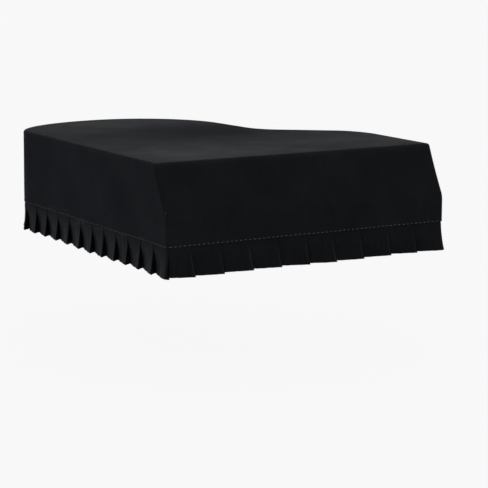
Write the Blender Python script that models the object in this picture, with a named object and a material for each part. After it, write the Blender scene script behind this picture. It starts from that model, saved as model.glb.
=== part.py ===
"""Fitted cloth cover with one straight and one bent side, open underneath, in the shape in which it hangs.

Metres, +Z up. X runs from the bass side to the treble side, Y from the front edge to the tail.
The origin is on the underside of the top, where the top is carried.
"""
import bmesh
import bpy
import math
from mathutils import Vector

# Driving dimensions
WIDTH = 1.500            # front edge, bass corner to treble corner
LENGTH = 1.714           # front edge to the end of the tail
DROP = 0.500             # top to hem
SKIRT_DROP = 0.360       # top to the seam where the flounce is sewn on
FOLD_DROP = 0.238        # top to the fold across the front
FRONT_REACH = 0.119      # how far that fold stands in front of the top edge
FRONT_SAG = 0.004        # how far the slanted cloth sags between edge and fold
CLOTH = 0.0015           # thickness of the cloth
SEAM_GAP = 0.0010        # air between two pieces that are sewn together

# Where the top is carried, measured from the front bass corner
CARRIED_X = 0.750
CARRIED_Y = 0.850

# How far into the curve of the tail the bass side's pieces reach
BASS_PAST_STRAIGHT = 0.035

# Plan of the top edge, counter-clockwise from the front bass corner. Each row is a corner of the
# outline, with the length of straight edge that its rounding takes before and after it.
CORNER_CUT = 0.018
TAIL_TOP_X = 0.540
SHOULDER_Y = 0.607
WAIST = (1.088, 0.921)
TAIL_CORNER_X = 1.007
BASS_STRAIGHT = 1.364
OUTLINE = (
    # x, y, cut_before, cut_after
    (0.0, 0.0, CORNER_CUT, CORNER_CUT),
    (WIDTH, 0.0, CORNER_CUT, CORNER_CUT),
    (WIDTH, SHOULDER_Y, 0.150, 0.120),
    (WAIST[0], WAIST[1], 0.090, 0.090),
    (TAIL_CORNER_X, LENGTH, 0.439, TAIL_CORNER_X - TAIL_TOP_X),
    (0.0, LENGTH, TAIL_TOP_X, LENGTH - BASS_STRAIGHT),
)
ROUND_HANDLE = 0.5523    # share of a cut that makes its curve a quarter ellipse
ROUND_STEPS = 32
FRONT_RUN_BASS = 1.360   # length of each side over which the front reach dies out
FRONT_RUN_TREBLE = 0.460

# The top ends and the skirt begins where the cloth starts to turn down over the edge.
RIM = 0.012
RIM_STEPS = 3
TOP_CENTRE = (0.600, 0.750)
TOP_RINGS = (0.45, 0.72, 0.93)

# Soft unevenness of the hanging cloth: waves round the whole edge, growing towards the seam
WAVES = (
    # count, height, phase
    (7, 0.0016, 0.6),
    (12, 0.0011, 2.1),
    (19, 0.0007, 4.0),
)

# Skirt rows, as drops below the top, and the column spacing of the skirt and top
SKIRT_ROWS = (0.075, 0.150, 0.205, 0.228, 0.244, 0.266, 0.315)
FOLD_ROUNDING = 0.020
COLUMN_STEP = 0.110
CURVE_STEP = 0.055
STRAIGHT_BEND = 0.02     # radians that a straight stretch may bend

# Pleats of the flounce. Each panel starts under the one before it and ends in a fold that stands out;
# the cloth then steps back under that fold. They lie flat at the seam and open below it.
PLEAT_ROWS = 5
PLEAT_FLAT_SHARE = 0.20  # share of the flounce height that lies flat below the seam
PLEAT_OPENING = 0.70     # power of the opening: under one, the pleats open fastest at first
DEPTH_AT_SEAM = 0.0054   # from the start of a panel to its fold, square to the wall
DEPTH_AT_HEM = 0.033
TUCK_AT_SEAM = 0.018     # how far a panel starts under the one before it
TUCK_AT_HEM = 0.009
TUCK_RUN = 0.30          # share of the height over which that becomes less
FOLD_AT_SEAM = 0.0022    # width of a fold, middle of cloth to middle of cloth
FOLD_AT_HEM = 0.0042
OUTER_AT_HEM = 0.010     # how far the folds stand out from the wall at the hem
TIP_KICK = 0.004         # how much further their lower ends turn out and on
PANEL_SHARES = (0.34, 0.68)
CORNER_TURNS = (-0.9, -0.45, 0.0, 0.45, 0.9)
MIN_STEP = 0.002
PANEL_BULGE = 0.0020
HEM_WAVE = 0.0015        # unevenness of the hem's height
HEM_WAVE_RATE = 9.0      # radians of that unevenness for each metre of edge
HEM_TIP_DIP = 0.0015     # how much lower the standing folds end

# Widths of the hand-laid pleats, as shares of their mean: the bass side's from the tail to the front
# corner, the front's from that corner to the treble side. The pleats that meet at the corner are apart.
BASS_WIDTHS = (1.01, 0.95, 1.05, 1.02, 1.01, 1.03, 0.98, 0.99, 0.93, 0.97, 1.05)
BASS_END_PLEAT = 0.120
FRONT_FIRST_PLEAT = 0.126
FRONT_WIDTHS = (0.99, 1.00, 0.99, 0.99, 0.96, 1.00, 1.02, 0.98, 1.06)
SIDE_PITCH = 0.130
SIDE_UNEVEN = 0.05
SIDE_UNEVEN_RATE = 2.3

CLOTH_COLOUR = (0.008, 0.008, 0.010, 1.0)
CLOTH_ROUGHNESS = 0.95


def mix(start, stop, share):
    return start + (stop - start) * share


def smooth(value):
    value = min(max(value, 0.0), 1.0)
    return value * value * (3.0 - 2.0 * value)


def rounded_corner(before, corner, after, cut_before, cut_after):
    """Points of the curve that rounds one corner."""
    start = corner + (before - corner).normalized() * cut_before
    stop = corner + (after - corner).normalized() * cut_after
    start_handle = start.lerp(corner, ROUND_HANDLE)
    stop_handle = stop.lerp(corner, ROUND_HANDLE)
    points = []
    for step in range(ROUND_STEPS + 1):
        t = step / ROUND_STEPS
        u = 1.0 - t
        points.append(
            start * u ** 3 + start_handle * 3 * u * u * t + stop_handle * 3 * u * t * t + stop * t ** 3
        )
    return points


class Edge:
    """The top edge as a closed path, read by the length run along it from the front bass corner."""

    def __init__(self):
        corners = [Vector(row[:2]) for row in OUTLINE]
        count = len(corners)
        path = []
        marks = []
        for index, row in enumerate(OUTLINE):
            curve = rounded_corner(
                corners[index - 1], corners[index], corners[(index + 1) % count], row[2], row[3]
            )
            marks.append((len(path), len(path) + ROUND_STEPS // 2, len(path) + ROUND_STEPS))
            path.extend(curve)
        middle = marks[0][1]
        self.points = path[middle:] + path[:middle + 1]
        self.lengths = [0.0]
        for here, there in zip(self.points, self.points[1:]):
            self.lengths.append(self.lengths[-1] + (there - here).length)
        self.total = self.lengths[-1]
        self.marks = [tuple(self.lengths[(spot - middle) % len(path)] for spot in mark) for mark in marks]

    def at(self, run):
        """Point of the edge and the direction out of it, after this run."""
        run = run % self.total
        low, high = 0, len(self.points) - 1
        while high - low > 1:
            centre = (low + high) // 2
            if self.lengths[centre] <= run:
                low = centre
            else:
                high = centre
        span = self.lengths[high] - self.lengths[low]
        point = self.points[low].lerp(self.points[high], (run - self.lengths[low]) / span)
        out = self.out_at_point(low).lerp(self.out_at_point(high), (run - self.lengths[low]) / span)
        return point, out.normalized()

    def out_at_point(self, index):
        last = len(self.points) - 1
        before = self.points[index - 1] if index > 0 else self.points[last - 1]
        after = self.points[index + 1] if index < last else self.points[1]
        along = (after - before).normalized()
        return Vector((along.y, -along.x))


EDGE = Edge()
BASS_CORNER = 0.0
TREBLE_CORNER = EDGE.marks[1][1]
TAIL_START = EDGE.marks[4][0]
TAIL_END = EDGE.marks[5][2] - BASS_PAST_STRAIGHT
LAST_RUN = EDGE.total


def front_lean(drop):
    """How far the front cloth stands in front of the top edge at this drop."""
    share = drop / FOLD_DROP
    straight = FRONT_REACH * min(share, 1.0)
    sag = FRONT_SAG * math.sin(math.pi * min(share, 1.0))
    nearness = max(0.0, 1.0 - abs(drop - FOLD_DROP) / FOLD_ROUNDING)
    rounding = FRONT_REACH / FOLD_DROP * FOLD_ROUNDING / 4 * nearness ** 2
    return straight - sag - rounding


def waves(run):
    height = 0.0
    for count, size, phase in WAVES:
        height += size * math.sin(2 * math.pi * count * run / EDGE.total + phase)
    return height


def drape(run, drop, stand=0.0):
    """Point of the hanging cloth below the edge; stand is how far it is pushed out of the wall."""
    point, out = EDGE.at(run)
    reach = FRONT_RUN_BASS if point.x < WIDTH / 2 else FRONT_RUN_TREBLE
    lean = front_lean(drop) * max(0.0, 1.0 - max(point.y, 0.0) / reach)
    wave = waves(run) * smooth(drop / SKIRT_DROP)
    flat = point - Vector((0.0, lean)) + out * (wave + stand)
    return Vector((flat.x - CARRIED_X, flat.y - CARRIED_Y, CLOTH / 2 - drop))


def corner_runs(low, high):
    """Runs between two others that the rounding of a front corner needs."""
    runs = []
    for corner in (BASS_CORNER, TREBLE_CORNER, LAST_RUN):
        runs += [corner + CORNER_CUT * turn for turn in CORNER_TURNS]
    return [run for run in runs if low + MIN_STEP < run < high - MIN_STEP]


def stations(start, stop):
    """Runs of a piece's columns: close together where the edge bends, wide apart where it is straight."""
    first = start + SEAM_GAP / 2
    last = stop - SEAM_GAP / 2
    bends = [run for mark in EDGE.marks[2:] for run in mark if first + MIN_STEP < run < last - MIN_STEP]
    breaks = [first] + sorted(bends + corner_runs(first, last)) + [last]
    runs = []
    for low, high in zip(breaks, breaks[1:]):
        bend = EDGE.at(low)[1].angle(EDGE.at(high)[1])
        step = CURVE_STEP if bend > STRAIGHT_BEND else COLUMN_STEP
        count = math.ceil((high - low) / step)
        runs += [mix(low, high, index / count) for index in range(count)]
    return runs + [last]


def cloth_material():
    material = bpy.data.materials.new("black_cloth")
    material.use_nodes = True
    shader = material.node_tree.nodes["Principled BSDF"]
    shader.inputs["Base Color"].default_value = CLOTH_COLOUR
    shader.inputs["Roughness"].default_value = CLOTH_ROUGHNESS
    shader.inputs["Metallic"].default_value = 0.0
    return material


def add_sheet(name, rows, material, cyclic=False, capped=False):
    """One cloth sheet from rows of points, given its thickness by Solidify."""
    shape = bmesh.new()
    grid = [[shape.verts.new(point) for point in row] for row in rows]
    for upper, lower in zip(grid, grid[1:]):
        pairs = list(zip(upper, lower))
        if cyclic:
            pairs.append(pairs[0])
        for (left_top, left_low), (right_top, right_low) in zip(pairs, pairs[1:]):
            shape.faces.new((left_top, left_low, right_low, right_top))
    if capped:
        cap = shape.faces.new(grid[0])
        bmesh.ops.triangulate(shape, faces=[cap], quad_method="BEAUTY", ngon_method="BEAUTY")
    mesh = bpy.data.meshes.new(name)
    shape.to_mesh(mesh)
    shape.free()
    mesh.shade_smooth()
    mesh.materials.append(material)
    piece = bpy.data.objects.new(name, mesh)
    bpy.context.scene.collection.objects.link(piece)
    thickness = piece.modifiers.new("cloth thickness", "SOLIDIFY")
    thickness.thickness = CLOTH
    thickness.offset = 0.0
    return piece


def add_top(material):
    """The top, flat where it is carried."""
    runs = []
    for start, stop in ((BASS_CORNER, TREBLE_CORNER), (TREBLE_CORNER, TAIL_START),
                        (TAIL_START, TAIL_END), (TAIL_END, LAST_RUN)):
        runs.extend(stations(start, stop)[:-1])
    edge = [drape(run, 0.0, -RIM - SEAM_GAP / 2) for run in runs]
    centre = Vector((TOP_CENTRE[0] - CARRIED_X, TOP_CENTRE[1] - CARRIED_Y, CLOTH / 2))
    rings = [[centre.lerp(point, share) for point in edge] for share in TOP_RINGS]
    add_sheet("top_panel", rings + [edge], material, cyclic=True, capped=True)


def rim_point(run, share):
    """Point of the rounding between the flat top and the skirt."""
    flat = drape(run, 0.0, -RIM + SEAM_GAP / 2)
    corner = drape(run, 0.0)
    low = drape(run, RIM)
    return flat * (1 - share) ** 2 + corner * 2 * share * (1 - share) + low * share ** 2


def add_skirt(name, start, stop, material):
    runs = stations(start, stop)
    rows = [[rim_point(run, step / RIM_STEPS) for run in runs] for step in range(RIM_STEPS + 1)]
    for drop in SKIRT_ROWS + (SKIRT_DROP - SEAM_GAP / 2,):
        rows.append([drape(run, drop) for run in runs])
    add_sheet(name, rows, material)


def pleat_sizes(share):
    """Depth, tuck, fold width, outer stand and tip kick of the pleats at this share of the height."""
    past = max(0.0, share - PLEAT_FLAT_SHARE) / (1.0 - PLEAT_FLAT_SHARE)
    opened = past ** PLEAT_OPENING
    depth = mix(DEPTH_AT_SEAM, DEPTH_AT_HEM, opened)
    tuck = mix(TUCK_AT_SEAM, TUCK_AT_HEM, smooth(share / TUCK_RUN))
    fold = mix(FOLD_AT_SEAM, FOLD_AT_HEM, opened)
    kick = TIP_KICK * past ** 4
    return depth, tuck, fold, OUTER_AT_HEM * past + kick, kick


def panel_shares(start, stop):
    """Shares of a panel's width at which it has a column, apart from those of a corner."""
    shares = []
    for share in PANEL_SHARES:
        run = mix(start - TUCK_AT_SEAM, stop, share)
        if not corner_runs(run - CORNER_CUT, run + CORNER_CUT):
            shares.append(share)
    return shares


def flounce_row(share, pleats):
    """One level of a flounce: the cloth's path in and out of its pleats."""
    depth, tuck, fold, outer, kick = pleat_sizes(share)
    inner = outer - depth
    path = []
    for start, width in pleats:
        stop = start + width
        begin = start - tuck
        panel = [mix(begin, stop, part) for part in panel_shares(start, stop)]
        for run in sorted([begin, stop] + panel + corner_runs(begin, stop)):
            part = (run - begin) / (stop - begin)
            bulge = PANEL_BULGE * share * math.sin(math.pi * part) ** 2
            path.append((run, mix(inner, outer, part) + bulge, part))
        for run in sorted([stop - tuck, stop] + corner_runs(stop - tuck, stop), reverse=True):
            part = (run - stop + tuck) / tuck
            path.append((run, mix(inner + fold, outer - fold, part), part))
    points = []
    for run, stand, part in path:
        dip = HEM_WAVE * (math.sin(run * HEM_WAVE_RATE) - 1.0) + HEM_TIP_DIP * (part - 1.0)
        drop = mix(SKIRT_DROP + SEAM_GAP / 2, DROP + dip, share)
        points.append(drape(run + kick * part ** 2, drop, stand))
    return points


def laid_pleats(start, stop, widths):
    """Start and width of each pleat, from the shares that the pleats have of the whole length."""
    scale = (stop - start) / sum(widths)
    pleats = []
    for width in widths:
        pleats.append((start, width * scale))
        start += width * scale
    return pleats


def side_widths(start, stop):
    """Pleat widths of a side, a little wider and narrower along the run."""
    count = round((stop - start) / SIDE_PITCH)
    return [1.0 + SIDE_UNEVEN * math.sin(SIDE_UNEVEN_RATE * index + start) for index in range(count)]


def add_flounce(name, pleats, material):
    shares = [row / (PLEAT_ROWS - 1) for row in range(PLEAT_ROWS)]
    add_sheet(name, [flounce_row(share, pleats) for share in shares], material)


def main():
    for item in list(bpy.data.objects):
        bpy.data.objects.remove(item, do_unlink=True)
    material = cloth_material()
    add_top(material)
    add_skirt("front_panel", BASS_CORNER, TREBLE_CORNER, material)
    add_skirt("bent_panel", TREBLE_CORNER, TAIL_START, material)
    add_skirt("tail_panel", TAIL_START, TAIL_END, material)
    add_skirt("bass_panel", TAIL_END, LAST_RUN, material)
    first_stop = BASS_CORNER + FRONT_FIRST_PLEAT
    front_pleats = [(BASS_CORNER, FRONT_FIRST_PLEAT)] + laid_pleats(first_stop, TREBLE_CORNER, FRONT_WIDTHS)
    bent_pleats = laid_pleats(TREBLE_CORNER, TAIL_START, side_widths(TREBLE_CORNER, TAIL_START))
    tail_pleats = laid_pleats(TAIL_START, TAIL_END, side_widths(TAIL_START, TAIL_END))
    last_start = LAST_RUN - BASS_END_PLEAT
    bass_pleats = laid_pleats(TAIL_END, last_start, BASS_WIDTHS) + [(last_start, BASS_END_PLEAT)]
    add_flounce("front_flounce", front_pleats, material)
    add_flounce("bent_flounce", bent_pleats, material)
    add_flounce("tail_flounce", tail_pleats, material)
    add_flounce("bass_flounce", bass_pleats, material)


main()
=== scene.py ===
"""Fitted black cloth cover with one straight and one bent side, as it hangs: pleats and topstitching."""
import bpy
import math
import numpy as np
from mathutils import Matrix, Vector


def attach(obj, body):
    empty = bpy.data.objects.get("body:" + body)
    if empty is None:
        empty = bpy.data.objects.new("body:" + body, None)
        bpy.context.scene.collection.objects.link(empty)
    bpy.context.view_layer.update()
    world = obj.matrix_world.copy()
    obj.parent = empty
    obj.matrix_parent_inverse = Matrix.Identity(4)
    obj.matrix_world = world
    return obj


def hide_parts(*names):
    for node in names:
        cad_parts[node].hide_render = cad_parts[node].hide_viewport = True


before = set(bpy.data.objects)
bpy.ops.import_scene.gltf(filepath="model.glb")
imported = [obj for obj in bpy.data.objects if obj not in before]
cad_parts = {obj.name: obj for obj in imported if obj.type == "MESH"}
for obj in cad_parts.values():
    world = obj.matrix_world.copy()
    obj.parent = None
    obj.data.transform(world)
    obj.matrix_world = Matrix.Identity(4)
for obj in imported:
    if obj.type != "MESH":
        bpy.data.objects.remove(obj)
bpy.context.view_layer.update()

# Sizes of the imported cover, in metres
WIDTH = 1.500            # front edge, bass corner to treble corner
LENGTH = 1.714           # front edge to the end of the tail
DROP = 0.500             # top to hem
SKIRT_DROP = 0.360       # top to the seam where the flounce is sewn on
FOLD_DROP = 0.238        # top to the fold across the front
FRONT_REACH = 0.119      # how far that fold stands in front of the top edge
FRONT_SAG = 0.004        # how far the slanted cloth sags between edge and fold
CARRIED_X = 0.750        # where the top is carried, from the front bass corner
CARRIED_Y = 0.850
CLOTH = 0.0015           # thickness of the cloth
RIM = 0.012              # how far in from the edge the top ends and the skirt begins
TOP_CENTRE = (0.600, 0.750)

# Plan of the top edge, with the straight lengths that each corner's rounding takes
CORNER_CUT = 0.018
TAIL_TOP_X = 0.540
SHOULDER_Y = 0.607
WAIST = (1.088, 0.921)
TAIL_CORNER_X = 1.007
BASS_STRAIGHT = 1.364
BASS_PAST_STRAIGHT = 0.035   # how far into the curve of the tail the bass side's pieces reach
OUTLINE = (
    # x, y, cut_before, cut_after
    (0.0, 0.0, CORNER_CUT, CORNER_CUT),
    (WIDTH, 0.0, CORNER_CUT, CORNER_CUT),
    (WIDTH, SHOULDER_Y, 0.150, 0.120),
    (WAIST[0], WAIST[1], 0.090, 0.090),
    (TAIL_CORNER_X, LENGTH, 0.439, TAIL_CORNER_X - TAIL_TOP_X),
    (0.0, LENGTH, TAIL_TOP_X, LENGTH - BASS_STRAIGHT),
)
ROUND_HANDLE = 0.5523    # share of a cut that makes its curve a quarter ellipse
ROUND_STEPS = 96
FRONT_RUN_BASS = 1.360   # length of each side over which the front reach dies out
FRONT_RUN_TREBLE = 0.460
FOLD_ROUNDING = 0.020

# Soft unevenness of the hanging cloth, round the whole edge
WAVES = (
    # count, height, phase
    (7, 0.0016, 0.6),
    (12, 0.0011, 2.1),
    (19, 0.0007, 4.0),
)
FAINT_FOLD_HEIGHT = 0.0009
FAINT_FOLDS = (
    # count, share of the height, phase
    (23, 0.50, 1.1),
    (37, 0.35, 0.4),
    (61, 0.25, 2.9),
)
PUCKER_HEIGHT = 0.00045  # small pucker along the flounce seam
PUCKER_COUNT = 171
PUCKER_SWELL_COUNT = 43
PUCKER_SWELL_PHASE = 0.8
PUCKER_HALF = 0.016      # how far above and below the seam it reaches

# Pleats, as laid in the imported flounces
PLEAT_FLAT_SHARE = 0.23  # share of the height that lies flat below the seam, a little more than in the solids
PLEAT_OPENING = 0.70     # power of the opening: under one, the pleats open fastest at first
OPENING_ROUNDING = 0.05  # how softly they start to open
DEPTH_AT_SEAM = 0.0018   # pressed flatter than the solids, in thinner cloth
DEPTH_AT_HEM = 0.033
TUCK_AT_SEAM = 0.018     # how far a panel starts under the one before it
TUCK_AT_HEM = 0.009
TUCK_RUN = 0.30          # share of the height over which that becomes less
FOLD_AT_SEAM = 0.0008    # width of a fold, middle of cloth to middle of cloth
FOLD_AT_HEM = 0.0042
OUTER_AT_HEM = 0.010     # how far the folds stand out from the wall at the hem
TIP_KICK = 0.004         # how much further their lower ends turn out and on
PANEL_BULGE = 0.0020
HEM_WAVE = 0.0015        # unevenness of the hem's height
HEM_WAVE_RATE = 9.0      # radians of that unevenness for each metre of edge
HEM_TIP_DIP = 0.0015     # how much lower the standing folds end
BASS_WIDTHS = (1.01, 0.95, 1.05, 1.02, 1.01, 1.03, 0.98, 0.99, 0.93, 0.97, 1.05)
BASS_END_PLEAT = 0.120
FRONT_FIRST_PLEAT = 0.126
FRONT_WIDTHS = (0.99, 1.00, 0.99, 0.99, 0.96, 1.00, 1.02, 0.98, 1.06)
SIDE_PITCH = 0.130
SIDE_UNEVEN = 0.05
SIDE_UNEVEN_RATE = 2.3

# Soft flutes down each panel, as waves across its width
FLUTE_HEIGHT = 0.0026
FLUTE_PHASE = 2.4        # from one panel to the next
BROAD_FLUTES = 2.3
BROAD_FLUTES_UNEVEN = 0.4
BROAD_FLUTE_SHARE = 0.6
FINE_FLUTES = 4.6
FINE_FLUTE_SHARE = 0.4
FINE_FLUTE_PHASE = 1.7

# The small swelling beside the top of each step
PUFF_HEIGHT = 0.0034
PUFF_UNEVEN = 0.3
PUFF_UNEVEN_RATE = 1.9
PUFF_AWAY = 0.013        # its middle, from the step
PUFF_WIDTH = 0.008
PUFF_SHARE = 0.34        # its middle, as a share of the flounce height
PUFF_TALL = 0.13

# Seams, laps and hems, which the solids don't have
SEAM_LINE = 0.0004       # gap along a seam
LAP = 0.006              # how far the flounce runs up behind the skirt's lower edge
LAP_DEPTH = 0.0021       # how far behind the wall it lies there
LAP_RUN = 0.16           # share of the height over which it comes out again
END_LAP = 0.022          # how far a flounce's first panel reaches on behind its neighbour's last fold
END_LAP_STOP = 0.1       # share of that lap at which its columns end
HEM_DEPTH = 0.013        # turned hem, pressed flat
HEM_THICKER = 1.45
HEM_STEP = 0.012         # share of the height over which the cloth steps out to the hem
HEM_REST = 0.03          # share of the height after which the hem's other rows begin
PRESSED_CLOTH = 0.0005   # thickness where the pleats are pressed flat
PRESSED_RUN = 0.5        # share of the height over which that becomes the full thickness
LIP_HEIGHT = 0.0005      # how far the skirt's lower edge stands off
LIP_RUN = 0.012
FRONT_EDGE = 0.05        # how far behind the front edge the front's nap ends

# Topstitching along the skirt's lower edge
STITCH_DROP = SKIRT_DROP - 0.003
STITCH_PITCH = 0.0240
STITCH_HALF = 0.0052
STITCH_RADIUS = 0.00075
STITCH_UNEVEN = (
    # share of the length, rate from stitch to stitch
    (0.10, 5.3),
    (0.06, 2.1),
)
STITCH_WANDER = 0.0003   # how far a stitch strays up and down
STITCH_WANDER_RATE = 1.7
STITCH_RISE = 0.55       # in radii: how high a stitch lies, and how deep its ends go in
STITCH_DIVE = 1.9
STITCH_TAPER = 0.75
STITCH_DENT = 0.0006     # how far the row of stitches pulls the skirt in
STITCH_DENT_HALF = 0.0025

# Rows and columns of the sheets
COLUMN = 0.009
CORNER_COLUMNS = 17
LEAST_COLUMN = 0.0006
RIM_ROWS = 9
SKIRT_BANDS = (
    # first drop, last drop, rows
    (RIM, FOLD_DROP - 0.030, 15),
    (FOLD_DROP - 0.024, FOLD_DROP + 0.024, 13),
    (FOLD_DROP + 0.034, SKIRT_DROP - 0.045, 5),
    (SKIRT_DROP - 0.039, SKIRT_DROP + 0.001, 17),
)
PANEL_COLUMNS = 33
FOLD_COLUMNS = 7
RETURN_COLUMNS = 7
LAP_COLUMNS = 5
FLOUNCE_ROWS = 22
HEM_ROWS = 4
TOP_COLUMN = 0.014
TOP_RINGS = 52
TOP_FIRST_RING = 0.02    # share of the way from the centre to the edge
STITCH_STATIONS = 7
STITCH_SIDES = 6

# Creases near the flounce seam, where the cloth is eased in. Runs count from the front bass corner, and
# below zero they go back along the straight side. Each crease is rubbed, so it shines.
CREASES = (
    # run, drop, half_length, half_width, slope, height
    (-1.130, 0.350, 0.050, 0.0040, -0.10, 0.0008),
    (-0.955, 0.333, 0.070, 0.0040, -0.12, 0.0010),
    (-0.940, 0.347, 0.060, 0.0035, -0.10, 0.0009),
    (-0.815, 0.364, 0.045, 0.0035, -0.05, 0.0010),
    (-0.815, 0.376, 0.045, 0.0035, -0.25, 0.0010),
    (-0.595, 0.371, 0.070, 0.0040, -0.03, 0.0009),
    (-0.400, 0.366, 0.060, 0.0040, 0.05, 0.0007),
    (-0.230, 0.350, 0.060, 0.0040, -0.12, 0.0007),
    (0.280, 0.345, 0.060, 0.0070, 0.15, 0.0003),
    (0.760, 0.348, 0.060, 0.0070, -0.12, 0.0003),
    (1.220, 0.345, 0.055, 0.0070, 0.18, 0.0003),
)
CREASE_SHINE = 900.0     # how brushed a crease is, for each metre of its height

# Soft swells of the top, in the plan, and the ripple over them
SWELLS = (
    # x, y, half_x, half_y, height
    (0.30, 0.35, 0.42, 0.16, 0.0022),
    (1.05, 0.28, 0.38, 0.15, 0.0018),
    (0.62, 1.28, 0.30, 0.22, 0.0024),
    (0.20, 1.15, 0.16, 0.30, 0.0014),
    (1.22, 0.60, 0.16, 0.12, 0.0012),
)
RIPPLE_HEIGHT = 0.0008
RIPPLES = (
    # rate_x, rate_y, phase
    (7.1, 3.3, 0.6),
    (2.7, -8.3, 1.9),
)
TOP_RISE = 0.09          # share of the way in from the edge over which the top comes up to them

# How flat the nap lies: brushed flat it shines at a grazing view
BRUSHED_AT_SEAM = 0.35
BRUSHED_AT_HEM = 0.85
BRUSHED_RISE = 1.25
SKIRT_BRUSHED = -0.04
FRONT_BRUSHED = 0.18     # the front's slanted part; its upright part isn't brushed
TOP_BRUSHED = 0.46
BRUSHED_PATCHES = (
    # x, y, half_x, half_y, lay
    (0.80, 0.95, 0.38, 0.26, -0.75),
    (0.25, 1.00, 0.35, 0.22, -0.15),
    (0.35, 0.20, 0.50, 0.25, 0.35),
    (1.35, 0.22, 0.22, 0.24, 0.14),
    (0.50, 1.52, 0.45, 0.22, 0.16),
)
# Painted shade: darker patches painted into the top's colour
PAINTED_SHADE_PATCHES = (
    # x, y, half_x, half_y, shade
    (0.87, 0.94, 0.25, 0.27, 0.65),
)

# Fine streaks down the panels; rates are in radians for each metre of run
STREAK_SHINE = 0.42
STREAK_RISE = 0.4        # share of the height over which they come up
STREAK_RATE = 290.0
STREAK_WANDER = 2.0
STREAK_WANDER_RATE = 37.0
STREAK_GROUP_RATE = 71.0
STREAK_GROUP_PHASE = 1.0
STREAK_GROUP_DRIFT = 2.0

# Where the cloth is worn pale, where the folds are worn and painted pale as a highlight, and where painted
# shade lies in the pleats
SKIRT_WEAR = (
    # drop, half width of the band, wear
    (RIM * 0.6, 0.008, 0.12),
    (SKIRT_DROP, 0.004, 0.15),
)
TOP_EDGE_WEAR = 0.12
TOP_EDGE_WEAR_HALF = 0.012   # share of the way in from the edge
FOLD_WEAR_AND_HIGHLIGHT_FROM = 0.24    # share of the height at which the folds begin to be worn and painted with a highlight
FOLD_WEAR_AND_HIGHLIGHT_OVER = 0.12
FOLD_WEAR_AND_HIGHLIGHT_HALF = 0.03    # share of a panel that is worn and painted with a highlight beside its fold
FOLD_WEAR_AND_HIGHLIGHT_ROUND = 0.6    # how far that wear and painted highlight reach round the fold
FOLD_WEAR_AND_HIGHLIGHT_UNEVEN = 0.35       # how differently the folds are worn and highlighted
FOLD_WEAR_AND_HIGHLIGHT_UNEVEN_RATE = 2.9
FOLD_WEAR_AND_HIGHLIGHT_UNEVEN_PHASE = 1.2
STEP_SHADE_FROM = 0.24   # share of the height at which the painted shade of a step begins, and over which it deepens
STEP_SHADE_OVER = 0.30
STEP_SHADE_RUN = 0.007   # how far that painted shade reaches on to the next panel
FOLD_SHADE_ROUND = 1.4   # how soon it begins behind the fold
TURN_SHADE_WIDTH = 0.08  # share of a panel beside its fold that gets painted shade, as if turned in out of the light
TURN_SHADE_FROM = 0.35
TURN_SHADE_OVER = 0.45

# How the nap of a flounce lies, how much wear with painted highlight and how much painted shade it takes, and
# how its folds hang
FLOUNCE_NAPS_AND_PAINTED_LIGHT = {
    # brushed, worn and painted highlight, painted shade where it turns in out of the light, least painted
    # shade, how far the folds swing along on their way down
    "front": (0.0, 0.52, 0.0, 0.12, 0.009),
    "side": (1.0, 0.10, 1.0, 0.0, 0.0),
}

# The nap itself
NAP_NOISES = {
    # scale, detail, roughness
    "broad": (5.0, 3.0, 0.5),
    "hanging": (90.0, 3.0, 0.5),
    "fine": (160.0, 4.0, 0.65),
    "specks": (420.0, 1.0, 0.5),
    "pile": (1300.0, 2.0, 0.5),
    "tufts": (260.0, 3.0, 0.5),
}
MIDDLE_TONE = 0.5
HANGING_STRETCH = 0.12   # the hanging streaks are stretched downwards
HANGING_SHARE = 0.4
LINT_FROM = 0.70
LINT_GAIN = 6.0
LINT_SHARE = 0.25        # how much of the worn colour the lint takes
PILE_SHARE = 0.4
TUFT_SHARE = 0.6
NAP_UNEVEN = 0.5         # how much the tone changes the lay of the nap
SPECULAR_LEVEL = 0.05
SHEEN_WEIGHT = 0.008
SHEEN_ROUGHNESS = 0.6
SHEEN_TINT = (0.35, 0.55, 1.0, 1.0)

# The photograph's view, and the studio
CAMERA_AT = (-4.694, -8.3642, 1.1437)
CAMERA_TURN = 30.3856
CAMERA_DOWN = 10.0447
CAMERA_ROLL = 0.1221
CAMERA_LENS = 142.47
CAMERA_SENSOR = 36.0
CAMERA_FAR = 400.0
FLOOR_HEIGHT = -1.020
FLOOR_HALF = 90.0
FLOOR_TONE = 0.02
FLOOR_GLOW = 0.92
SKY_GLOW = 0.94


def mix(start, stop, share):
    return start + (stop - start) * share


def smooth(value):
    value = np.clip(value, 0.0, 1.0)
    return value * value * (3.0 - 2.0 * value)


def bell(value):
    return np.exp(-value * value)


def length_of(vectors):
    return np.sqrt((vectors * vectors).sum(axis=-1, keepdims=True))


def rounded_corner(before, corner, after, cut_before, cut_after):
    """Points of the curve that rounds one corner."""
    start = corner + (before - corner) / length_of(before - corner) * cut_before
    stop = corner + (after - corner) / length_of(after - corner) * cut_after
    start_handle = mix(start, corner, ROUND_HANDLE)
    stop_handle = mix(stop, corner, ROUND_HANDLE)
    t = np.linspace(0.0, 1.0, ROUND_STEPS + 1)[:, None]
    u = 1.0 - t
    return start * u ** 3 + 3 * start_handle * u * u * t + 3 * stop_handle * u * t * t + stop * t ** 3


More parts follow.
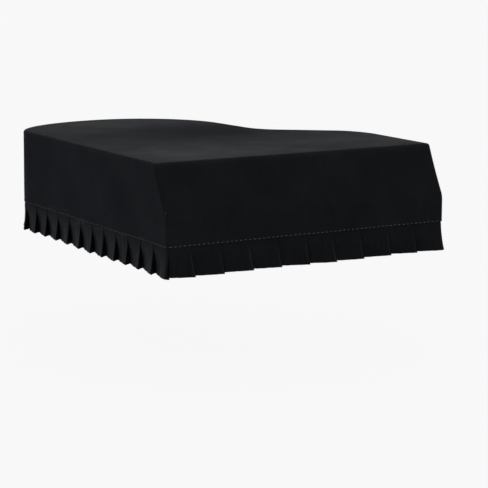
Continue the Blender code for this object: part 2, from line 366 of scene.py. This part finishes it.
class Edge:
    """The top edge as a closed path, read by the length run along it from the front bass corner."""

    def __init__(self):
        corners = np.array([row[:2] for row in OUTLINE])
        count = len(corners)
        curves = []
        for index, row in enumerate(OUTLINE):
            after = corners[(index + 1) % count]
            curves.append(rounded_corner(corners[index - 1], corners[index], after, row[2], row[3]))
        path = np.concatenate(curves)
        middle = ROUND_STEPS // 2
        points = np.roll(path, -middle, axis=0)
        points = np.concatenate([points, points[:1]])
        steps = length_of(points[1:] - points[:-1])[:, 0]
        self.runs = np.concatenate([[0.0], np.cumsum(steps)])
        self.total = self.runs[-1]
        along = np.roll(points[:-1], -1, axis=0) - np.roll(points[:-1], 1, axis=0)
        along = along / length_of(along)
        along = np.concatenate([along, along[:1]])
        self.points = points
        self.outward = np.stack([along[:, 1], -along[:, 0]], axis=1)
        size = ROUND_STEPS + 1
        self.marks = []
        for index in range(count):
            spots = [index * size, index * size + middle, index * size + ROUND_STEPS]
            self.marks.append([self.runs[(spot - middle) % len(path)] for spot in spots])

    def at(self, run):
        """Points of the edge and the directions out of it."""
        run = np.mod(run, self.total)
        point = np.stack([np.interp(run, self.runs, self.points[:, side]) for side in (0, 1)], axis=-1)
        out = np.stack([np.interp(run, self.runs, self.outward[:, side]) for side in (0, 1)], axis=-1)
        return point, out / length_of(out)


EDGE = Edge()
BASS_CORNER = 0.0
TREBLE_CORNER = EDGE.marks[1][1]
TAIL_START = EDGE.marks[4][0]
TAIL_END = EDGE.marks[5][2] - BASS_PAST_STRAIGHT
LAST_RUN = EDGE.total


def front_lean(drop):
    """How far the front cloth stands in front of the top edge at this drop."""
    share = np.clip(drop / FOLD_DROP, 0.0, 1.0)
    nearness = np.clip(1.0 - np.abs(drop - FOLD_DROP) / FOLD_ROUNDING, 0.0, None)
    rounding = FRONT_REACH / FOLD_DROP * FOLD_ROUNDING / 4 * nearness ** 2
    return FRONT_REACH * share - FRONT_SAG * np.sin(math.pi * share) - rounding


def waves(rows, run):
    """Height of the waves in a table that go round the whole edge."""
    turn = 2 * math.pi * run / EDGE.total
    return sum(size * np.sin(count * turn + phase) for count, size, phase in rows)


def patches(rows, x, y):
    """Sum of the soft patches in a table, at this place of the plan."""
    return sum(size * bell((x - at_x) / half_x) * bell((y - at_y) / half_y)
               for at_x, at_y, half_x, half_y, size in rows)


def creases(run, drop):
    """Height of the soft ridges at this place of the sides."""
    height = 0.0
    for at_run, at_drop, half_length, half_width, slope, size in CREASES:
        along = np.mod(run - at_run + EDGE.total / 2, EDGE.total) - EDGE.total / 2
        across = drop - at_drop - slope * along
        height = height + size * bell(along / half_length) * bell(across / half_width)
    return height


def soft_folds(run, drop):
    """Faint folds that hang from the edge of the top, and the small pucker along the flounce seam."""
    turn = 2 * math.pi * run / EDGE.total
    pucker = np.sin(turn * PUCKER_COUNT) * np.sin(turn * PUCKER_SWELL_COUNT + PUCKER_SWELL_PHASE)
    pucker = pucker * bell((drop - SKIRT_DROP) / PUCKER_HALF)
    folds = FAINT_FOLD_HEIGHT * waves(FAINT_FOLDS, run) * smooth(drop / SKIRT_DROP)
    return folds + PUCKER_HEIGHT * pucker


def drape(run, drop, stand=0.0):
    """Points of the hanging cloth below the edge; stand is how far it is pushed out of the wall."""
    run, drop, stand = np.broadcast_arrays(run, drop, stand)
    point, out = EDGE.at(run)
    x, y = point[..., 0], point[..., 1]
    reach = np.where(x < WIDTH / 2, FRONT_RUN_BASS, FRONT_RUN_TREBLE)
    lean = front_lean(drop) * np.clip(1.0 - np.clip(y, 0.0, None) / reach, 0.0, None)
    push = waves(WAVES, run) * smooth(drop / SKIRT_DROP) + stand
    flat_x = x + out[..., 0] * push
    flat_y = y - lean + out[..., 1] * push
    return np.stack([flat_x - CARRIED_X, flat_y - CARRIED_Y, CLOTH / 2 - drop], axis=-1)


def normals_of(middle, cyclic):
    """Outward normals of a grid of points whose rows run down and whose columns run along the edge."""
    down = np.gradient(middle, axis=0)
    if cyclic:
        along = np.roll(middle, -1, axis=1) - np.roll(middle, 1, axis=1)
    else:
        along = np.gradient(middle, axis=1)
    normal = np.cross(down, along)
    return normal / length_of(normal)


def add_piece(name, points, faces, material, finish=None):
    """A mesh object; finish holds the values that its material reads at each point."""
    mesh = bpy.data.meshes.new(name)
    mesh.from_pydata(points.reshape(-1, 3).tolist(), [], faces)
    mesh.shade_smooth()
    mesh.materials.append(material)
    for key, values in (finish or {}).items():
        attribute = mesh.attributes.new(key, "FLOAT", "POINT")
        attribute.data.foreach_set("value", values.reshape(-1).astype(np.float32))
    piece = bpy.data.objects.new(name, mesh)
    bpy.context.scene.collection.objects.link(piece)
    return piece


def grid_faces(rows, columns, close_rows, close_columns):
    faces = []
    for row in range(rows if close_rows else rows - 1):
        below = (row + 1) % rows
        for column in range(columns if close_columns else columns - 1):
            beside = (column + 1) % columns
            faces.append((row * columns + column, below * columns + column,
                          below * columns + beside, row * columns + beside))
    return faces


def add_hanging_sheet(name, middle, half, finish, material):
    """A closed sheet with soft edges round a grid of middle points; half is its half thickness by row."""
    normal = normals_of(middle, False)
    outer = middle + normal * half[:, None, None]
    inner = middle - normal * half[:, None, None]
    upward = middle[:1] - middle[1:2]
    downward = middle[-1:] - middle[-2:-1]
    top_edge = middle[:1] + upward / length_of(upward) * half[0]
    low_edge = middle[-1:] + downward / length_of(downward) * half[-1]
    points = np.concatenate([outer, low_edge, inner[::-1], top_edge])
    finish = {key: np.concatenate([rows, rows[-1:], rows[::-1], rows[:1]]) for key, rows in finish.items()}
    rows, columns = points.shape[:2]
    faces = grid_faces(rows, columns, True, False)
    count = len(middle)
    for column, order in ((0, -1), (columns - 1, 1)):
        loop = [row * columns + column for row in range(rows)]
        ends = [(loop[count - 1], loop[count], loop[count + 1]), (loop[-2], loop[-1], loop[0])]
        for row in range(count - 1):
            ends.append((loop[row], loop[row + 1], loop[2 * count - 1 - row], loop[2 * count - row]))
        faces += [end[::order] for end in ends]
    return add_piece(name, points, faces, material, finish)


def columns_between(start, stop):
    """Runs of a skirt's columns, closer together round the front corners."""
    first, last = start + SEAM_LINE / 2, stop - SEAM_LINE / 2
    runs = [np.linspace(first, last, round((last - first) / COLUMN) + 1)]
    for corner in (BASS_CORNER, TREBLE_CORNER, LAST_RUN):
        near = corner + np.linspace(-CORNER_CUT, CORNER_CUT, CORNER_COLUMNS)
        runs.append(near[(near > first) & (near < last)])
    runs = np.sort(np.concatenate(runs))
    return runs[np.concatenate([[True], np.diff(runs) > LEAST_COLUMN])]


def add_skirt(name, start, stop, material):
    """A skirt from the turn of the top's edge down over the head of its flounce."""
    runs = columns_between(start, stop)[None, :]
    turn = np.linspace(0.0, 1.0, RIM_ROWS)[:, None, None]
    flat = drape(runs, 0.0, -RIM + SEAM_LINE / 2)
    rim = flat * (1 - turn) ** 2 + drape(runs, 0.0) * 2 * turn * (1 - turn) + drape(runs, RIM) * turn ** 2
    drops = np.concatenate([np.linspace(*band) for band in SKIRT_BANDS])[1:, None]
    lip = LIP_HEIGHT * smooth((drops - SKIRT_DROP) / LIP_RUN + 1)
    dent = STITCH_DENT * bell((drops - STITCH_DROP) / STITCH_DENT_HALF)
    stand = creases(runs, drops) + soft_folds(runs, drops) + lip - dent
    middle = np.concatenate([rim, drape(runs, drops, stand)])
    drops = np.concatenate([np.linspace(0.0, RIM, RIM_ROWS)[:, None], drops])
    front = smooth(1.0 - EDGE.at(runs)[0][..., 1] / FRONT_EDGE)
    wear_and_highlight = sum(worn * bell((drops - at_drop) / half) for at_drop, half, worn in SKIRT_WEAR)
    slanted = 1.0 - smooth((drops - FOLD_DROP) / FOLD_ROUNDING)
    finish = {
        "wear_and_highlight": np.broadcast_to(wear_and_highlight, middle.shape[:2]),
        "shade": np.zeros(middle.shape[:2]),
        "brushed": mix(SKIRT_BRUSHED, FRONT_BRUSHED * slanted, front) + CREASE_SHINE * creases(runs, drops),
    }
    return add_hanging_sheet(name, middle, np.full(len(middle), CLOTH / 2), finish, material)


def add_top(name, material):
    """The flat top, softly swollen in places, with the worn line at its seam and patches of painted shade."""
    runs = np.arange(0.0, LAST_RUN, LAST_RUN / round(LAST_RUN / TOP_COLUMN))[None, :]
    edge = drape(runs, 0.0, -RIM - SEAM_LINE / 2)
    shares = np.linspace(TOP_FIRST_RING, 1.0, TOP_RINGS)[:, None, None]
    centre = np.array([TOP_CENTRE[0] - CARRIED_X, TOP_CENTRE[1] - CARRIED_Y, CLOTH / 2])
    middle = mix(centre, edge, shares)
    x, y = middle[..., 0] + CARRIED_X, middle[..., 1] + CARRIED_Y
    inward = 1.0 - shares[..., 0]
    first, second = (np.sin(rate_x * x + rate_y * y + phase) for rate_x, rate_y, phase in RIPPLES)
    ripple = RIPPLE_HEIGHT * (1.0 + first * second) / 2
    middle[..., 2] += (patches(SWELLS, x, y) + ripple) * smooth(inward / TOP_RISE)
    normal = normals_of(middle, True)
    outer = middle + normal * CLOTH / 2
    inner = middle - normal * CLOTH / 2
    outward = middle[-1:] - middle[-2:-1]
    rim = middle[-1:] + outward / length_of(outward) * CLOTH / 2
    points = np.concatenate([outer, rim, inner[::-1]])
    rows, columns = points.shape[:2]
    faces = grid_faces(rows, columns, False, True)
    faces.append(tuple(range(columns)))
    faces.append(tuple((rows - 1) * columns + column for column in reversed(range(columns))))
    finish = {
        "wear_and_highlight": np.broadcast_to(TOP_EDGE_WEAR * bell(inward / TOP_EDGE_WEAR_HALF), x.shape),
        # Painted shade from the patches of the top
        "shade": patches(PAINTED_SHADE_PATCHES, x, y),
        "brushed": TOP_BRUSHED + patches(BRUSHED_PATCHES, x, y),
    }
    finish = {key: np.concatenate([rings, rings[-1:], rings[::-1]]) for key, rings in finish.items()}
    return add_piece(name, points, faces, material, finish)


def pleat_sizes(share):
    """Depth, tuck, fold width, outer stand and tip kick of the pleats at this share of the height."""
    past = (share - PLEAT_FLAT_SHARE) / (1.0 - PLEAT_FLAT_SHARE)
    past = 0.5 * (past + math.sqrt(past * past + OPENING_ROUNDING ** 2))
    opened = past ** PLEAT_OPENING
    depth = mix(DEPTH_AT_SEAM, DEPTH_AT_HEM, opened)
    tuck = mix(TUCK_AT_SEAM, TUCK_AT_HEM, smooth(share / TUCK_RUN))
    fold = mix(FOLD_AT_SEAM, FOLD_AT_HEM, opened)
    kick = TIP_KICK * past ** 4
    return depth, tuck, fold, OUTER_AT_HEM * past + kick, kick


def panel_relief(index, part, away, share):
    """Soft flutes of one panel, and the swelling beside the step that it starts from."""
    phase = FLUTE_PHASE * index
    broad = BROAD_FLUTES + BROAD_FLUTES_UNEVEN * math.sin(phase)
    flutes = BROAD_FLUTE_SHARE * np.sin(2 * math.pi * broad * part + phase)
    flutes = flutes + FINE_FLUTE_SHARE * np.sin(2 * math.pi * FINE_FLUTES * part + FINE_FLUTE_PHASE * phase)
    relief = FLUTE_HEIGHT * flutes * np.sin(math.pi * part) * smooth(share)
    puff = PUFF_HEIGHT * (1.0 - PUFF_UNEVEN + PUFF_UNEVEN * math.sin(PUFF_UNEVEN_RATE * phase))
    puff = puff * bell((away - PUFF_AWAY) / PUFF_WIDTH) * bell((share - PUFF_SHARE) / PUFF_TALL)
    bulge = PANEL_BULGE * max(share, 0.0) * np.sin(math.pi * part) ** 2
    return relief + puff + bulge


def flounce_level(share, pleats, first_index, turned):
    """One level of a flounce along the cloth's path: runs, stands, parts of a panel, wear with a painted
    highlight, and painted shade.
    """
    depth, tuck, fold, outer, kick = pleat_sizes(share)
    inner = outer - depth
    half_turn = np.radians(np.linspace(90.0, -90.0, FOLD_COLUMNS + 2)[1:-1])
    round_run = fold / 2 * np.cos(half_turn)
    round_stand = fold / 2 * np.sin(half_turn)
    # Painted shade beside the folds, on the sides where they would turn in out of the light
    turned_share = turned * smooth((share - TURN_SHADE_FROM) / TURN_SHADE_OVER)
    strips = []
    for index, (start, width) in enumerate(pleats):
        stop = start + width
        begin = start - tuck
        if index == 0:
            behind = begin - END_LAP * np.linspace(1.0, END_LAP_STOP, LAP_COLUMNS)
            strips.append((behind, inner, 0.0, 0.0, 1.0))
        part = np.linspace(0.0, 1.0, PANEL_COLUMNS)
        run = mix(begin, stop, part)
        stand = mix(inner, outer, part) + panel_relief(index + first_index, part, run - start, share)
        # Wear and a painted highlight beside each fold, stronger on some folds than on others
        rubbed_and_highlit = 1.0 + FOLD_WEAR_AND_HIGHLIGHT_UNEVEN * math.sin(FOLD_WEAR_AND_HIGHLIGHT_UNEVEN_RATE * index + FOLD_WEAR_AND_HIGHLIGHT_UNEVEN_PHASE)
        worn = rubbed_and_highlit * bell((1.0 - part) / FOLD_WEAR_AND_HIGHLIGHT_HALF)
        # Painted shade at the start of each panel in its step, and on the strip beside the fold
        turn_in = turned_share * smooth((part - 1.0 + TURN_SHADE_WIDTH) / TURN_SHADE_WIDTH)
        shade = np.maximum(1.0 - smooth((run - begin) / STEP_SHADE_RUN), turn_in)
        strips.append((run, stand, part, worn, shade))
        worn = rubbed_and_highlit * smooth(FOLD_WEAR_AND_HIGHLIGHT_ROUND + np.sin(half_turn))
        shade = np.maximum(smooth(-FOLD_SHADE_ROUND * np.sin(half_turn)), turn_in[-1])
        strips.append((stop + round_run, outer - fold / 2 + round_stand, 1.0, worn, shade))
        part = np.linspace(1.0, 0.0, RETURN_COLUMNS)
        stand = mix(inner + fold, outer - fold, part)
        strips.append((mix(stop - tuck, stop, part), stand, part, 0.0, 1.0))
        if index < len(pleats) - 1:
            strips.append((stop - tuck - round_run, inner + fold / 2 + round_stand, 0.0, 0.0, 1.0))
    strips = [np.broadcast_arrays(*strip) for strip in strips]
    runs, stands, parts, wear_and_highlights, shades = (np.concatenate(values) for values in zip(*strips))
    shades = shades * smooth((share - STEP_SHADE_FROM) / STEP_SHADE_OVER)
    return runs + kick * parts ** 2, stands, parts, wear_and_highlights, shades


def streaks(run, share):
    """Fine streaks of brushed nap down the panels, in groups."""
    fine = np.sin(run * STREAK_RATE + STREAK_WANDER * np.sin(run * STREAK_WANDER_RATE))
    group = np.sin(run * STREAK_GROUP_RATE + STREAK_GROUP_PHASE + STREAK_GROUP_DRIFT * share)
    return STREAK_SHINE * fine * group * smooth(share / STREAK_RISE)


def add_flounce(name, pleats, first_index, nap_and_painted_light, material):
    """A knife-pleated flounce, from behind the skirt's lower edge to its turned hem."""
    height = DROP - SKIRT_DROP
    hem_share = 1.0 - HEM_DEPTH / height
    shares = np.concatenate([
        [-LAP / height, -LAP / height / 2],
        np.linspace(0.0, hem_share, FLOUNCE_ROWS),
        [hem_share + HEM_STEP],
        np.linspace(hem_share + HEM_REST, 1.0, HEM_ROWS),
    ])
    brushed_share, worn_and_highlit_share, turned, least_shade, swing = nap_and_painted_light
    levels, wear_and_highlight, shade, brushed = [], [], [], []
    for share in shares:
        run, stand, part, worn, shaded = flounce_level(share, pleats, first_index, turned)
        run = run - swing * (1.0 - share * share) * part ** 2
        dip = HEM_WAVE * (np.sin(run * HEM_WAVE_RATE) - 1.0) + HEM_TIP_DIP * (part - 1.0)
        drop = mix(SKIRT_DROP, DROP + dip, share)
        crease = creases(run, drop)
        stand = stand - LAP_DEPTH * (1.0 - smooth(share / LAP_RUN)) + crease
        levels.append(drape(run, drop, stand))
        # Wear with a painted highlight along the folds, and painted shade, no less than least_shade anywhere
        wear_and_highlight.append(worn_and_highlit_share * worn * smooth((share - FOLD_WEAR_AND_HIGHLIGHT_FROM) / FOLD_WEAR_AND_HIGHLIGHT_OVER))
        shade.append(np.maximum(shaded, least_shade))
        lay = mix(BRUSHED_AT_SEAM, BRUSHED_AT_HEM, smooth(share * BRUSHED_RISE))
        lay = lay + streaks(run, share) + CREASE_SHINE * crease
        brushed.append(brushed_share * (1.0 - shaded) * lay)
    half = mix(PRESSED_CLOTH, CLOTH, smooth(shares / PRESSED_RUN)) / 2
    half = half * np.where(shares > hem_share, HEM_THICKER, 1.0)
    finish = {"wear_and_highlight": np.stack(wear_and_highlight), "shade": np.stack(shade), "brushed": np.stack(brushed)}
    return add_hanging_sheet(name, np.stack(levels), half, finish, material)


def laid_pleats(start, stop, widths):
    """Start and width of each pleat, from the shares that the pleats have of the whole length."""
    scale = (stop - start) / sum(widths)
    pleats = []
    for width in widths:
        pleats.append((start, width * scale))
        start += width * scale
    return pleats


def side_widths(start, stop):
    """Pleat widths of a side, a little wider and narrower along the run."""
    count = round((stop - start) / SIDE_PITCH)
    return [1.0 + SIDE_UNEVEN * math.sin(SIDE_UNEVEN_RATE * index + start) for index in range(count)]


def add_stitches(name, start, stop, material):
    """Topstitching: each stitch comes up, lies on the skirt and goes down again."""
    count = int((stop - start) / STITCH_PITCH)
    centres = start + (np.arange(count) + 0.5) * (stop - start) / count
    along = np.linspace(-1.0, 1.0, STITCH_STATIONS)
    turns = 2 * math.pi * np.arange(STITCH_SIDES) / STITCH_SIDES
    up = np.array([0.0, 0.0, 1.0])
    rise = CLOTH / 2 + STITCH_RADIUS * (STITCH_RISE - STITCH_DIVE * along ** 4)
    radius = STITCH_RADIUS * np.sqrt(1.0 - STITCH_TAPER * along ** 4)[:, None, None]
    points = []
    faces = []
    for index, centre in enumerate(centres):
        uneven = 1.0 + sum(share * math.sin(rate * index) for share, rate in STITCH_UNEVEN)
        run = centre + along * STITCH_HALF * uneven
        wander = STITCH_WANDER * math.sin(STITCH_WANDER_RATE * index)
        drop = np.full(STITCH_STATIONS, STITCH_DROP + wander)
        stand = creases(run, drop) + soft_folds(run, drop) + rise
        spine = drape(run, drop, stand)
        out = drape(run, drop, stand + CLOTH) - spine
        out = out / length_of(out)
        ring = out[:, None, :] * np.cos(turns)[None, :, None] + up * np.sin(turns)[None, :, None]
        points.append(spine[:, None, :] + ring * radius)
        first = index * STITCH_STATIONS * STITCH_SIDES
        for face in grid_faces(STITCH_STATIONS, STITCH_SIDES, False, True):
            faces.append(tuple(first + corner for corner in face[::-1]))
        last = first + (STITCH_STATIONS - 1) * STITCH_SIDES
        faces.append(tuple(first + side for side in range(STITCH_SIDES)))
        faces.append(tuple(last + side for side in reversed(range(STITCH_SIDES))))
    return add_piece(name, np.concatenate(points), faces, material)


def wire(tree, source, target):
    tree.links.new(source, target)


def add_node(tree, kind, **settings):
    node = tree.nodes.new(kind)
    for key, value in settings.items():
        setattr(node, key, value)
    return node


def noise(tree, place, layer):
    node = add_node(tree, "ShaderNodeTexNoise")
    for socket, value in zip(("Scale", "Detail", "Roughness"), NAP_NOISES[layer]):
        node.inputs[socket].default_value = value
    wire(tree, place, node.inputs["Vector"])
    return node.outputs["Fac"]


def combine(tree, operation, first, second):
    """A Math node of two sockets or values."""
    node = add_node(tree, "ShaderNodeMath", operation=operation)
    for socket, value in zip(node.inputs, (first, second)):
        if isinstance(value, (int, float)):
            socket.default_value = value
        else:
            wire(tree, value, socket)
    return node.outputs[0]


def nap_group():
    """Brushed nap: broad brush marks, mottling, lint specks and the pile's own height."""
    group = bpy.data.node_groups.new("Brushed nap", "ShaderNodeTree")
    group.interface.new_socket(name="Place", in_out="INPUT", socket_type="NodeSocketVector")
    for name in ("Brush Marks", "Mottle"):
        group.interface.new_socket(name=name, in_out="INPUT", socket_type="NodeSocketFloat")
    for name in ("Tone", "Lint", "Height"):
        group.interface.new_socket(name=name, in_out="OUTPUT", socket_type="NodeSocketFloat")
    inputs = add_node(group, "NodeGroupInput")
    outputs = add_node(group, "NodeGroupOutput")
    place = inputs.outputs["Place"]
    stretched = add_node(group, "ShaderNodeMapping")
    stretched.inputs["Scale"].default_value = (1.0, 1.0, HANGING_STRETCH)
    wire(group, place, stretched.inputs["Vector"])
    broad = combine(group, "SUBTRACT", noise(group, place, "broad"), MIDDLE_TONE)
    hanging = combine(group, "SUBTRACT", noise(group, stretched.outputs[0], "hanging"), MIDDLE_TONE)
    hanging = combine(group, "MULTIPLY", hanging, HANGING_SHARE)
    fine = combine(group, "SUBTRACT", noise(group, place, "fine"), MIDDLE_TONE)
    marks = combine(group, "MULTIPLY", combine(group, "ADD", broad, hanging), inputs.outputs["Brush Marks"])
    mottle = combine(group, "MULTIPLY", fine, inputs.outputs["Mottle"])
    tone = combine(group, "ADD", combine(group, "ADD", marks, mottle), MIDDLE_TONE)
    wire(group, tone, outputs.inputs["Tone"])
    lint = combine(group, "SUBTRACT", noise(group, place, "specks"), LINT_FROM)
    lint = combine(group, "MULTIPLY", lint, LINT_GAIN)
    wire(group, combine(group, "MAXIMUM", lint, 0.0), outputs.inputs["Lint"])
    pile = combine(group, "MULTIPLY", noise(group, place, "pile"), PILE_SHARE)
    tufts = combine(group, "MULTIPLY", noise(group, place, "tufts"), TUFT_SHARE)
    wire(group, combine(group, "ADD", pile, tufts), outputs.inputs["Height"])
    return group


def mix_colours(tree, share, first, second):
    """A Mix node of two colours, each a socket or a value."""
    node = add_node(tree, "ShaderNodeMix", data_type="RGBA", clamp_factor=True)
    for socket, value in zip((node.inputs[0], node.inputs[6], node.inputs[7]), (share, first, second)):
        if isinstance(value, tuple):
            socket.default_value = value
        else:
            wire(tree, value, socket)
    return node.outputs[2]


def napped_material(name, nap, colours, marks, lay_roughness, bump):
    """Cloth or thread with a nap. Colours are dark, light, worn (which also paints highlights along the
    folds) and shaded (painted shade), marks the brush marks and the mottle, lay_roughness that of standing
    and of brushed nap, and bump its strength and distance."""
    material = bpy.data.materials.new(name)
    material.use_nodes = True
    tree = material.node_tree
    shader = tree.nodes["Principled BSDF"]
    dark, light, worn, shaded = (colour + (1.0,) for colour in colours)
    standing, laid_flat = lay_roughness
    group = add_node(tree, "ShaderNodeGroup", node_tree=nap)
    for socket, value in zip(("Brush Marks", "Mottle"), marks):
        group.inputs[socket].default_value = value
    wire(tree, add_node(tree, "ShaderNodeTexCoord").outputs["Object"], group.inputs["Place"])
    tone = group.outputs["Tone"]
    wear_and_highlight, shade, brushed = (add_node(tree, "ShaderNodeAttribute", attribute_name=key).outputs["Fac"]
                            for key in ("wear_and_highlight", "shade", "brushed"))
    plain = mix_colours(tree, tone, dark, light)
    lint = combine(tree, "MULTIPLY", group.outputs["Lint"], LINT_SHARE)
    # The worn colour paints wear and the folds' painted highlight; the shaded colour paints shade
    rubbed_and_highlit = combine(tree, "ADD", combine(tree, "MULTIPLY", wear_and_highlight, tone), lint)
    colour = mix_colours(tree, shade, mix_colours(tree, rubbed_and_highlit, plain, worn), shaded)
    wire(tree, colour, shader.inputs["Base Color"])
    uneven = combine(tree, "MULTIPLY", combine(tree, "SUBTRACT", tone, MIDDLE_TONE), NAP_UNEVEN)
    lay = combine(tree, "MULTIPLY", combine(tree, "ADD", brushed, uneven), laid_flat - standing)
    wire(tree, combine(tree, "ADD", lay, standing), shader.inputs["Roughness"])
    height = add_node(tree, "ShaderNodeBump")
    for socket, value in zip(("Strength", "Distance"), bump):
        height.inputs[socket].default_value = value
    wire(tree, group.outputs["Height"], height.inputs["Height"])
    wire(tree, height.outputs["Normal"], shader.inputs["Normal"])
    shader.inputs["Specular IOR Level"].default_value = SPECULAR_LEVEL
    shader.inputs["Sheen Weight"].default_value = SHEEN_WEIGHT
    shader.inputs["Sheen Roughness"].default_value = SHEEN_ROUGHNESS
    shader.inputs["Sheen Tint"].default_value = SHEEN_TINT
    return material


def black_nap(nap):
    return napped_material(
        "black_nap", nap,
        colours=(
            # Dark and light tone, the pale worn colour that also paints highlights, and the painted-shade
            # colour
            (0.0034, 0.0036, 0.0042), (0.0064, 0.0068, 0.0078), (0.028, 0.029, 0.032), (0.001, 0.001, 0.001),
        ),
        marks=(1.2, 1.4), lay_roughness=(0.96, 0.60), bump=(0.35, 0.0006),
    )


def pale_thread(nap):
    return napped_material(
        "pale_thread", nap,
        colours=((0.09, 0.09, 0.10), (0.17, 0.17, 0.18), (0.20, 0.20, 0.20), (0.12, 0.12, 0.12)),
        marks=(0.3, 0.8), lay_roughness=(0.9, 0.8), bump=(0.30, 0.0002),
    )


def add_camera():
    turn, down, roll = (math.radians(angle) for angle in (CAMERA_TURN, CAMERA_DOWN, CAMERA_ROLL))
    forward = Vector((math.sin(turn) * math.cos(down), math.cos(turn) * math.cos(down), -math.sin(down)))
    level = Vector((math.cos(turn), -math.sin(turn), 0.0))
    upright = level.cross(forward)
    right = level * math.cos(roll) + upright * math.sin(roll)
    up = upright * math.cos(roll) - level * math.sin(roll)
    camera = bpy.data.objects.new("view", bpy.data.cameras.new("view"))
    camera.data.lens = CAMERA_LENS
    camera.data.sensor_width = CAMERA_SENSOR
    camera.data.clip_end = CAMERA_FAR
    camera.matrix_world = Matrix.Translation(CAMERA_AT) @ Matrix((right, up, -forward)).transposed().to_4x4()
    bpy.context.scene.collection.objects.link(camera)
    bpy.context.scene.camera = camera


def add_studio():
    """Pale floor out to the horizon, as bright as the even pale sky above it."""
    signs = ((-1, -1), (1, -1), (1, 1), (-1, 1))
    corners = [(x * FLOOR_HALF, y * FLOOR_HALF, FLOOR_HEIGHT) for x, y in signs]
    material = bpy.data.materials.new("pale_floor")
    material.use_nodes = True
    shader = material.node_tree.nodes["Principled BSDF"]
    shader.inputs["Base Color"].default_value = (FLOOR_TONE, FLOOR_TONE, FLOOR_TONE, 1.0)
    shader.inputs["Roughness"].default_value = 1.0
    shader.inputs["Specular IOR Level"].default_value = 0.0
    shader.inputs["Emission Color"].default_value = (1.0, 1.0, 1.0, 1.0)
    shader.inputs["Emission Strength"].default_value = FLOOR_GLOW
    floor = add_piece("floor", np.array(corners), [(0, 1, 2, 3)], material)
    world = bpy.data.worlds.new("pale sky")
    world.use_nodes = True
    world.node_tree.nodes["Background"].inputs["Color"].default_value = (1.0, 1.0, 1.0, 1.0)
    world.node_tree.nodes["Background"].inputs["Strength"].default_value = SKY_GLOW
    bpy.context.scene.world = world
    bpy.context.scene.view_settings.view_transform = "Standard"


def finish_piece(piece, node):
    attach(piece, "root")
    if node:
        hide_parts(node)


add_camera()
add_studio()
nap = nap_group()
cloth = black_nap(nap)
thread = pale_thread(nap)

first_stop = BASS_CORNER + FRONT_FIRST_PLEAT
last_start = LAST_RUN - BASS_END_PLEAT
front_pleats = [(BASS_CORNER, FRONT_FIRST_PLEAT)] + laid_pleats(first_stop, TREBLE_CORNER, FRONT_WIDTHS)
bass_pleats = laid_pleats(TAIL_END, last_start, BASS_WIDTHS) + [(last_start, BASS_END_PLEAT)]
bent_pleats = laid_pleats(TREBLE_CORNER, TAIL_START, side_widths(TREBLE_CORNER, TAIL_START))
tail_pleats = laid_pleats(TAIL_START, TAIL_END, side_widths(TAIL_START, TAIL_END))
SIDES = (
    # side, start, stop, pleats, first pleat index, nap and painted light of the flounce
    ("front", BASS_CORNER, TREBLE_CORNER, front_pleats, 0, "front"),
    ("bent", TREBLE_CORNER, TAIL_START, bent_pleats, 12, "side"),
    ("tail", TAIL_START, TAIL_END, tail_pleats, 28, "side"),
    ("bass", TAIL_END, LAST_RUN, bass_pleats, 41, "side"),
)

top = add_top("top_cloth", cloth)
finish_piece(top, "top_panel")
for side, start, stop, pleats, first_index, nap_name in SIDES:
    skirt = add_skirt(side + "_skirt", start, stop, cloth)
    finish_piece(skirt, side + "_panel")
    stitches = add_stitches(side + "_stitches", start, stop, thread)
    finish_piece(stitches, None)
    flounce = add_flounce(side + "_frill", pleats, first_index, FLOUNCE_NAPS_AND_PAINTED_LIGHT[nap_name], cloth)
    finish_piece(flounce, side + "_flounce")
